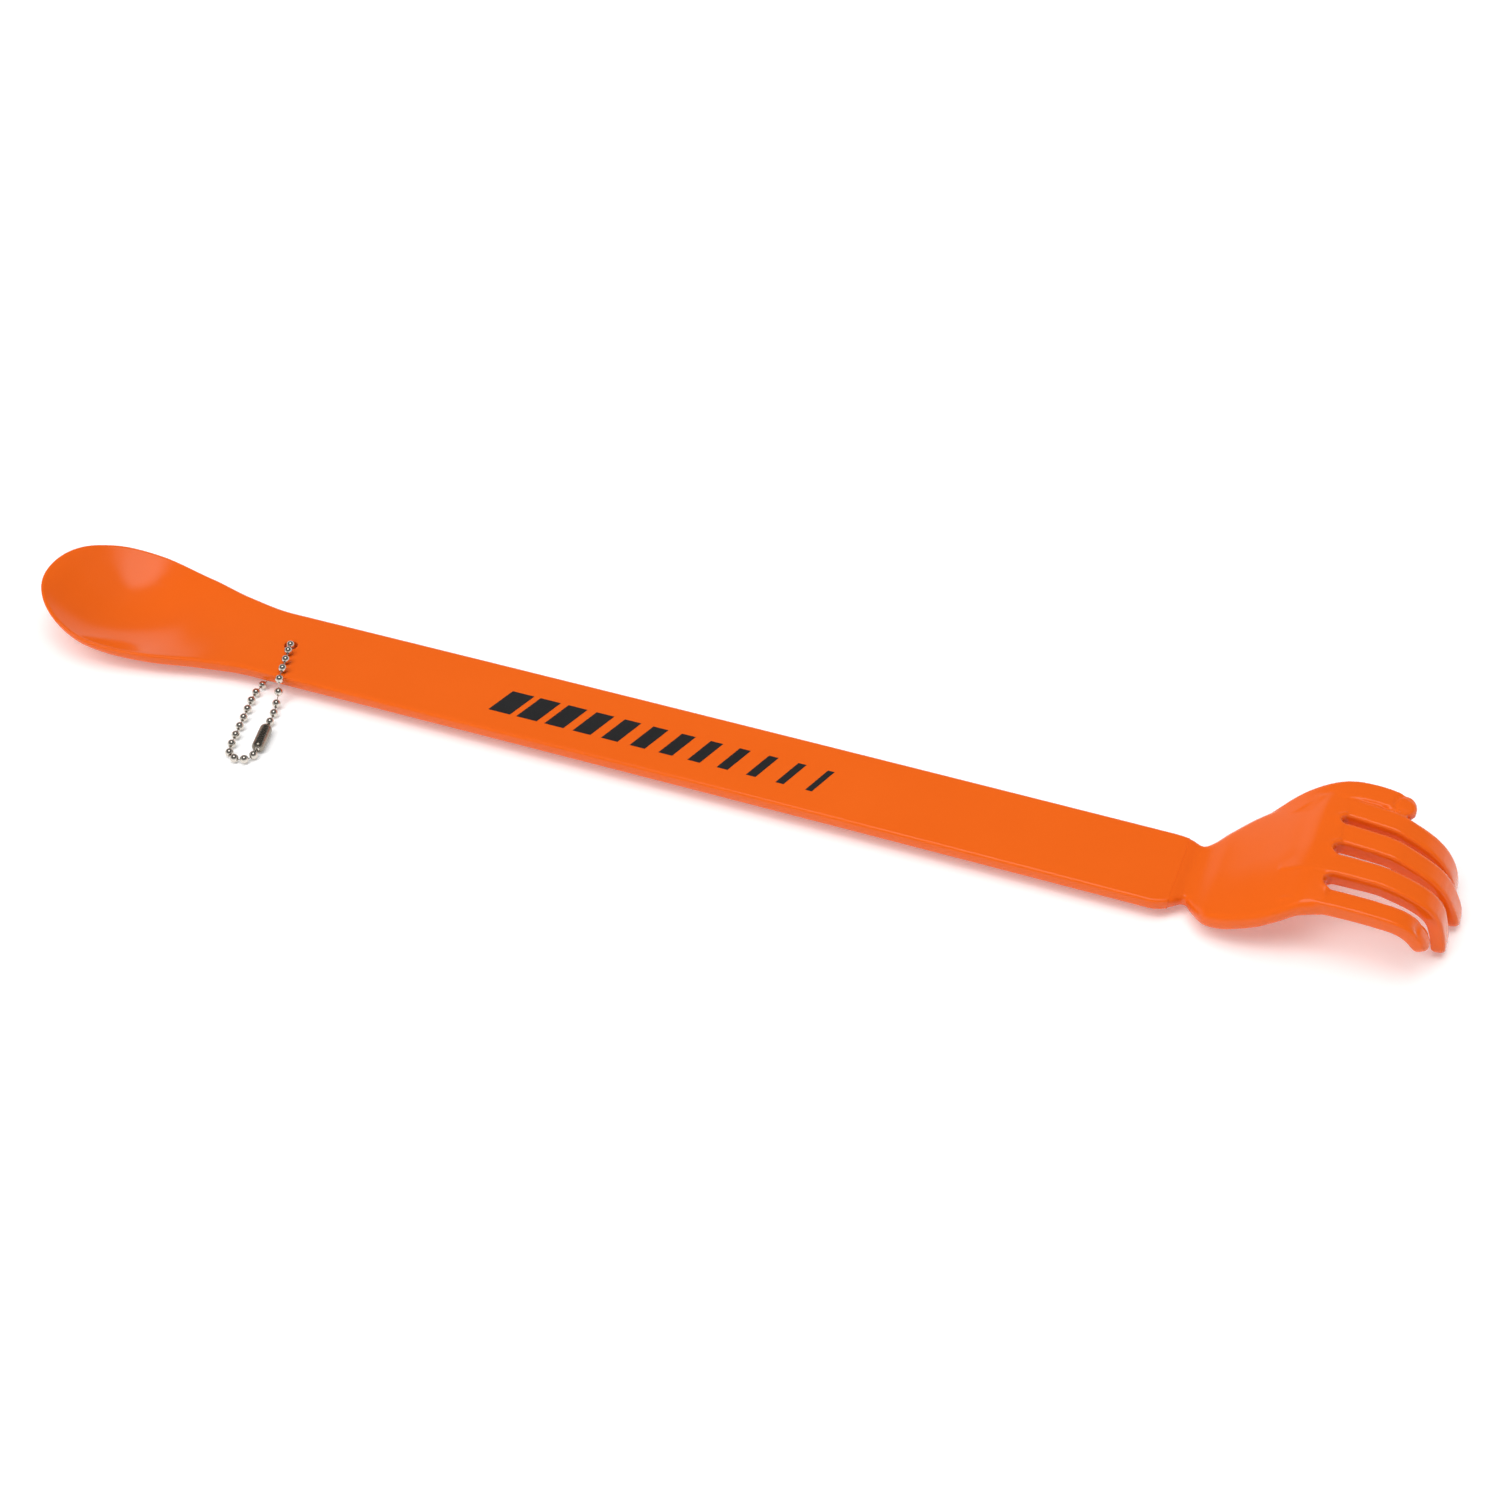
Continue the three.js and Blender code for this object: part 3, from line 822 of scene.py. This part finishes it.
def dimpled(tree, entry, ball):
    """The ball with a pit at each pole, where a link goes in."""
    spot = add(tree, "GeometryNodeInputPosition")
    split = add(tree, "ShaderNodeSeparateXYZ")
    flat = add(tree, "ShaderNodeCombineXYZ")
    reach = add(tree, "ShaderNodeVectorMath", operation="LENGTH")
    near = add(tree, "FunctionNodeCompare", data_type="FLOAT", operation="LESS_THAN")
    deeper = add(tree, "ShaderNodeMath", operation="MULTIPLY")
    whole = add(tree, "ShaderNodeCombineXYZ")
    move = add(tree, "GeometryNodeSetPosition")
    link_up(tree, spot, 0, split, 0)
    link_up(tree, split, "X", flat, "X")
    link_up(tree, split, "Y", flat, "Y")
    tree.links.new(flat.outputs[0], reach.inputs[0])
    tree.links.new(reach.outputs["Value"], near.inputs["A"])
    link_up(tree, entry, "Mouth radius", near, "B")
    link_up(tree, split, "Z", deeper, 0)
    link_up(tree, entry, "Dimple", deeper, 1)
    link_up(tree, split, "X", whole, "X")
    link_up(tree, split, "Y", whole, "Y")
    link_up(tree, deeper, 0, whole, "Z")
    tree.links.new(ball, move.inputs["Geometry"])
    link_up(tree, near, 0, move, "Selection")
    link_up(tree, whole, 0, move, "Position")
    return move.outputs[0]


def link_shape(tree, entry):
    """A wire with a small ball at each end."""
    rod = add(tree, "GeometryNodeMeshCylinder")
    rod.inputs["Vertices"].default_value = 12
    link_up(tree, entry, "Wire radius", rod, "Radius")
    link_up(tree, entry, "Link length", rod, "Depth")
    head = add(tree, "ShaderNodeMath", operation="MULTIPLY")
    head.inputs[1].default_value = LINK_HEAD
    link_up(tree, entry, "Wire radius", head, 0)
    both = add(tree, "GeometryNodeJoinGeometry")
    tree.links.new(rod.outputs["Mesh"], both.inputs[0])
    for side in (-0.5, 0.5):
        ball = add(tree, "GeometryNodeMeshUVSphere")
        ball.inputs["Segments"].default_value = 10
        ball.inputs["Rings"].default_value = 6
        link_up(tree, head, 0, ball, "Radius")
        height = add(tree, "ShaderNodeMath", operation="MULTIPLY")
        height.inputs[1].default_value = side
        link_up(tree, entry, "Link length", height, 0)
        offset = add(tree, "ShaderNodeCombineXYZ")
        link_up(tree, height, 0, offset, "Z")
        shift = add(tree, "GeometryNodeTransform")
        tree.links.new(ball.outputs["Mesh"], shift.inputs["Geometry"])
        link_up(tree, offset, 0, shift, "Translation")
        tree.links.new(shift.outputs[0], both.inputs[0])
    return both.outputs[0]


def chain_points(name, members, run):
    """One vertex for each bead and link of a body, with its way and its kind."""
    data = bpy.data.meshes.new(name)
    data.from_pydata([run[m][0] for m in members], [], [])
    way = data.attributes.new("way", "FLOAT_VECTOR", "POINT")
    kind = data.attributes.new("is_link", "BOOLEAN", "POINT")
    for i, member in enumerate(members):
        way.data[i].vector = run[member][1]
        kind.data[i].value = member.startswith("link")
    thing = bpy.data.objects.new(name, data)
    bpy.context.scene.collection.objects.link(thing)
    return thing


CLASP_REACH = 3.5    # from the clasp's middle to where its ends draw in
# An end of the clasp: how far past that place, and the radius there. None is the full one.
CLASP_NECK = ((-0.3, None), (0.2, 1.58), (0.56, 1.44), (0.86, 1.22), (1, 1.0))
# Openings in the clasp's side: from, to and half-width, along the way from its upper bead.
CLASP_WINDOW = (-0.6, 2.3, 0.85)
CLASP_SLOT = (-2.6, -0.9, 0.45)
CUTTER_FACES = (-3, -0.6)    # where a cutter starts outside the clasp and ends inside it


def clasp_shape(wall, radius):
    """A tube drawn in round the two end beads."""
    upper = [(width or radius, CLASP_REACH + past) for past, width in CLASP_NECK]
    outside = [(r, -z) for r, z in reversed(upper)] + upper
    inside = [(r - wall, z) for r, z in reversed(outside)]
    loop = outside + inside
    tube = turned([(r * MM, z * MM) for r, z in loop + loop[:1]], "clasp_tube", 48)
    merge = bmesh.new()
    merge.from_mesh(tube.data)
    bmesh.ops.remove_doubles(merge, verts=merge.verts, dist=1e-7)
    bmesh.ops.recalc_face_normals(merge, faces=merge.faces)
    merge.to_mesh(tube.data)
    merge.free()
    return tube


def clasp_cutter(low, high, half):
    """A slot with round ends, cut in from one side."""
    outline = []
    for end, start in ((high, 0), (low, math.pi)):
        for k in range(13):
            turn = start + math.pi * k / 12
            outline.append((half * math.cos(turn), end + half * math.sin(turn)))
    mesh = bmesh.new()
    front, back = [[mesh.verts.new((x * MM, y * MM, z * MM)) for y, z in outline]
                   for x in CUTTER_FACES]
    mesh.faces.new(front)
    mesh.faces.new(back[::-1])
    for k in range(len(outline)):
        m = (k + 1) % len(outline)
        mesh.faces.new((front[k], back[k], back[m], front[m]))
    bmesh.ops.recalc_face_normals(mesh, faces=mesh.faces)
    return object_from(mesh, "clasp_cutter")


# ---- The imprint ---------------------------------------------------------------------

IMPRINT_START = (65.5, -1)    # the middle of the first bar
IMPRINT_LIFT = 0.005          # keeps the film clear of the strap's face


def stripes_tree():
    """A row of slanting bars that grow narrower along the strap."""
    tree, entry, out = node_tree("stripe_row", [
        ("Count", "Int", 12),
        ("Pitch", "Float", 0.0078),
        ("First width", "Float", 0.0062),
        ("Last width", "Float", 0.0014),
        ("Height", "Float", 0.0088),
        ("Film", "Float", 0.00004),
        ("Slant", "Float", 0.35),
        ("Material", "Material", None),
    ])
    line = add(tree, "GeometryNodeMeshLine", mode="OFFSET")
    link_up(tree, entry, "Count", line, "Count")
    offset = add(tree, "ShaderNodeCombineXYZ")
    link_up(tree, entry, "Pitch", offset, "X")
    link_up(tree, offset, 0, line, "Offset")
    bar = add(tree, "GeometryNodeMeshGrid")
    bar.inputs["Size X"].default_value = 1
    bar.inputs["Size Y"].default_value = 1
    bar.inputs["Vertices X"].default_value = 4
    bar.inputs["Vertices Y"].default_value = 8
    number = add(tree, "GeometryNodeInputIndex")
    share = add(tree, "ShaderNodeMapRange")
    link_up(tree, number, 0, share, "Value")
    link_up(tree, entry, "Count", share, "From Max")
    link_up(tree, entry, "First width", share, "To Min")
    link_up(tree, entry, "Last width", share, "To Max")
    size = add(tree, "ShaderNodeCombineXYZ")
    link_up(tree, share, "Result", size, "X")
    link_up(tree, entry, "Height", size, "Y")
    size.inputs["Z"].default_value = 1
    spread = add(tree, "GeometryNodeInstanceOnPoints")
    link_up(tree, line, 0, spread, "Points")
    link_up(tree, bar, 0, spread, "Instance")
    link_up(tree, size, 0, spread, "Scale")
    real = add(tree, "GeometryNodeRealizeInstances")
    link_up(tree, spread, 0, real, 0)
    spot = add(tree, "GeometryNodeInputPosition")
    split = add(tree, "ShaderNodeSeparateXYZ")
    link_up(tree, spot, 0, split, 0)
    lean = add(tree, "ShaderNodeMath", operation="MULTIPLY")
    link_up(tree, split, "Y", lean, 0)
    link_up(tree, entry, "Slant", lean, 1)
    shift = add(tree, "ShaderNodeCombineXYZ")
    link_up(tree, lean, 0, shift, "X")
    move = add(tree, "GeometryNodeSetPosition")
    link_up(tree, real, 0, move, "Geometry")
    link_up(tree, shift, 0, move, "Offset")
    raised = add(tree, "GeometryNodeExtrudeMesh")
    raised.inputs["Individual"].default_value = False
    link_up(tree, move, 0, raised, "Mesh")
    link_up(tree, entry, "Film", raised, "Offset Scale")
    close_tree(tree, entry, out, raised.outputs["Mesh"])
    return tree


# ---- Settings ------------------------------------------------------------------------

class MouldingSettings(bpy.types.PropertyGroup):
    edge: bpy.props.FloatProperty(
        name="Edge radius", description="Radius of the strap's long edges, in millimetres",
        default=0.9, min=0.2, max=1.5)
    skin: bpy.props.FloatProperty(
        name="Skin step", description="Size of the steps that the hand's skin is made in",
        default=0.00036, min=0.0003, max=0.002, unit="LENGTH", subtype="DISTANCE", precision=5)


class ChainSettings(bpy.types.PropertyGroup):
    bead_radius: bpy.props.FloatProperty(
        name="Bead radius", description="Radius of the chain's beads",
        default=0.00115, min=0.0005, max=0.003, unit="LENGTH", subtype="DISTANCE", precision=5)
    clasp_radius: bpy.props.FloatProperty(
        name="Clasp radius", description="Outer radius of the clasp, in millimetres",
        default=1.65, min=1.4, max=3)
    clasp_wall: bpy.props.FloatProperty(
        name="Clasp wall", description="Thickness of the clasp's sheet, in millimetres",
        default=0.25, min=0.1, max=0.5)


class ImprintSettings(bpy.types.PropertyGroup):
    count: bpy.props.IntProperty(
        name="Bars", description="Number of printed bars", default=12, min=1, max=40)
    height: bpy.props.FloatProperty(
        name="Height", description="Size of the imprint across the strap",
        default=0.0088, min=0.002, max=0.02, unit="LENGTH", subtype="DISTANCE", precision=5)


class StageSettings(bpy.types.PropertyGroup):
    floor: bpy.props.FloatVectorProperty(
        name="Floor", description="Colour of the floor", subtype="COLOR", size=3,
        default=(0.9, 0.9, 0.9), min=0, max=1)
    light: bpy.props.FloatProperty(
        name="Light", description="Strength of the two soft lights together",
        default=2.35, min=0)


# ---- The stage -----------------------------------------------------------------------

CAMERA_PLACE = (304.66, -460.15, 455.70)
CAMERA_RIGHT = Vector((0.93624, 0.35136, 0))
CAMERA_DOWN = Vector((0.23599, -0.62887, -0.74083))
CAMERA_AHEAD = Vector((-0.26030, 0.69360, -0.67169))
CAMERA_LENS = 62.44
FLOOR_REACH = 6    # metres from the middle to a side, so that no view sees the edge

# The two soft lights: name, place, how wide it looks in degrees, and share of the strength.
LIGHTS = (
    ("key", (-0.55, -0.6, 1.2), 38, 0.55),
    ("top", (0.15, 0.2, 1.5), 60, 0.45),
)

# Brightness of the room by height: 0 is level and 1 is straight up.
SKY = ((0.0, 0.8), (0.3, 0.6), (0.48, 0.12), (0.93, 0.12), (0.98, 2.2))


def studio_sky():
    """A room that is bright low down and overhead, and darker in between."""
    world = bpy.data.worlds.new("studio")
    world.use_nodes = True
    tree = world.node_tree
    way = tree.nodes.new("ShaderNodeTexCoord")
    split = tree.nodes.new("ShaderNodeSeparateXYZ")
    bands = tree.nodes.new("ShaderNodeValToRGB")
    bands.color_ramp.interpolation = "EASE"
    ramp = bands.color_ramp.elements
    while len(ramp) < len(SKY):
        ramp.new(0.5)
    for element, (height, level) in zip(ramp, SKY):
        element.position = height
        element.color = (level, level, level, 1)
    link_up(tree, way, "Generated", split, 0)
    link_up(tree, split, "Z", bands, "Fac")
    link_up(tree, bands, "Color", tree.nodes["Background"], "Color")
    return world


# ---- Operators -----------------------------------------------------------------------

class StageOperator(bpy.types.Operator):
    """Sets up the floor, the soft lights and the camera"""

    bl_idname = "scratcher.stage"
    bl_label = "Stage"

    def execute(self, context):
        settings = context.scene.scratcher_stage
        self.camera(context.scene)
        self.floor(settings.floor)
        self.lights(context.scene, settings.light)
        return {"FINISHED"}

    def camera(self, scene):
        data = bpy.data.cameras.new("camera")
        data.sensor_width = 36
        data.lens = CAMERA_LENS
        data.clip_start = 0.01
        camera = bpy.data.objects.new("camera", data)
        scene.collection.objects.link(camera)
        turn = Matrix((CAMERA_RIGHT, -CAMERA_DOWN, -CAMERA_AHEAD)).transposed().to_4x4()
        camera.matrix_world = Matrix.Translation(at(*CAMERA_PLACE)) @ turn
        scene.camera = camera
        scene.view_settings.view_transform = "Standard"

    def floor(self, colour):
        mesh = bmesh.new()
        bmesh.ops.create_grid(mesh, x_segments=1, y_segments=1, size=FLOOR_REACH)
        floor = object_from(mesh, "floor")
        wear(floor, pale_floor(colour))

    def lights(self, scene, power):
        scene.world = studio_sky()
        for name, place, spread, share in LIGHTS:
            data = bpy.data.lights.new(name, "SUN")
            data.angle = math.radians(spread)
            data.energy = power * share
            light = bpy.data.objects.new(name, data)
            light.visible_glossy = False
            light.location = place
            light.rotation_euler = (-light.location).to_track_quat("-Z", "Y").to_euler()
            scene.collection.objects.link(light)


class MouldingOperator(bpy.types.Operator):
    """Builds the one-piece moulding: shoehorn, strap and hand"""

    bl_idname = "scratcher.moulding"
    bl_label = "Moulding"

    def execute(self, context):
        settings = context.scene.scratcher_moulding
        emptied("moulded_scratcher")
        body = strap_and_shoehorn(settings.edge)
        body.name = "moulded_scratcher"
        joined(body, hang_hole_drill(), "DIFFERENCE")
        joined(body, hand(settings.skin), "UNION")
        wear(body, orange_plastic())
        shade(body, 42)
        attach(body, "handle")
        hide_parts("scratcher_moulding")
        return {"FINISHED"}


class ImprintOperator(bpy.types.Operator):
    """Prints the plain row of bars on the strap"""

    bl_idname = "scratcher.imprint"
    bl_label = "Imprint"

    def execute(self, context):
        settings = context.scene.scratcher_imprint
        emptied("strap_imprint")
        imprint = object_from(bmesh.new(), "strap_imprint")
        grown(imprint, stripes_tree(), {
            "Count": settings.count,
            "Height": settings.height,
            "Material": black_ink(),
        })
        imprint.data.transform(Matrix.Translation(at(*IMPRINT_START, STRAP_TOP)))
        for vertex in imprint.data.vertices:
            x = (vertex.co.x - FLOOR.x) / MM
            vertex.co.z += (arch_at(x) + IMPRINT_LIFT) * MM
        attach(imprint, "handle")
        return {"FINISHED"}


class ChainOperator(bpy.types.Operator):
    """Builds the beads and links of the ball chain, one piece for each moving body"""

    bl_idname = "scratcher.ball_chain"
    bl_label = "Ball chain"

    def execute(self, context):
        settings = context.scene.scratcher_chain
        tree = ball_chain_tree()
        material = bright_nickel()
        run = chain_run()
        for body, members in BODIES.items():
            if body in ("handle", "clasp"):
                continue
            name = f"chain_{body.removeprefix('chain_')}"
            emptied(name)
            piece = chain_points(name, members, run)
            grown(piece, tree, {"Bead radius": settings.bead_radius, "Material": material})
            if not piece.data.polygons:
                raise RuntimeError(f"{name} came out empty")
            shade(piece, 50)
            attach(piece, body)
            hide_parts(*members)
        return {"FINISHED"}


class ClaspOperator(bpy.types.Operator):
    """Builds the clasp that closes the chain's loop"""

    bl_idname = "scratcher.clasp"
    bl_label = "Clasp"

    def execute(self, context):
        settings = context.scene.scratcher_chain
        emptied("clasp_tube")
        tube = clasp_shape(settings.clasp_wall, settings.clasp_radius)
        for opening in (CLASP_WINDOW, CLASP_SLOT):
            joined(tube, clasp_cutter(*opening), "DIFFERENCE")
        upper, lower = (node_centre(bead) for bead in CLASPED_BEADS)
        along = (lower - upper).normalized()
        side = Vector((0, 0, 1)).cross(along).normalized()
        turn = Matrix((side, along.cross(side), along)).transposed().to_4x4()
        tube.data.transform(Matrix.Translation((upper + lower) / 2) @ turn)
        wear(tube, aged_nickel())
        shade(tube, 40)
        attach(tube, "clasp")
        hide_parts("chain_clasp")
        return {"FINISHED"}


class ScratcherPanel(bpy.types.Panel):
    bl_idname = "VIEW3D_PT_scratcher"
    bl_label = "Back scratcher"
    bl_space_type = "VIEW_3D"
    bl_region_type = "UI"
    bl_category = "Scratcher"

    def draw(self, context):
        for operator in OPERATORS:
            self.layout.operator(operator.bl_idname)


OPERATORS = (StageOperator, MouldingOperator, ImprintOperator, ChainOperator, ClaspOperator)
SETTINGS = {
    "scratcher_moulding": MouldingSettings,
    "scratcher_chain": ChainSettings,
    "scratcher_imprint": ImprintSettings,
    "scratcher_stage": StageSettings,
}


def register():
    for item in (*SETTINGS.values(), *OPERATORS, ScratcherPanel):
        bpy.utils.register_class(item)
    for name, group in SETTINGS.items():
        setattr(bpy.types.Scene, name, bpy.props.PointerProperty(type=group))


def unregister():
    for name in SETTINGS:
        delattr(bpy.types.Scene, name)
    for item in (ScratcherPanel, *reversed(OPERATORS), *SETTINGS.values()):
        bpy.utils.unregister_class(item)


def main():
    register()
    bpy.ops.scratcher.stage()
    bpy.ops.scratcher.moulding()
    bpy.ops.scratcher.imprint()
    bpy.ops.scratcher.ball_chain()
    bpy.ops.scratcher.clasp()


if __name__ == "__main__":
    main()
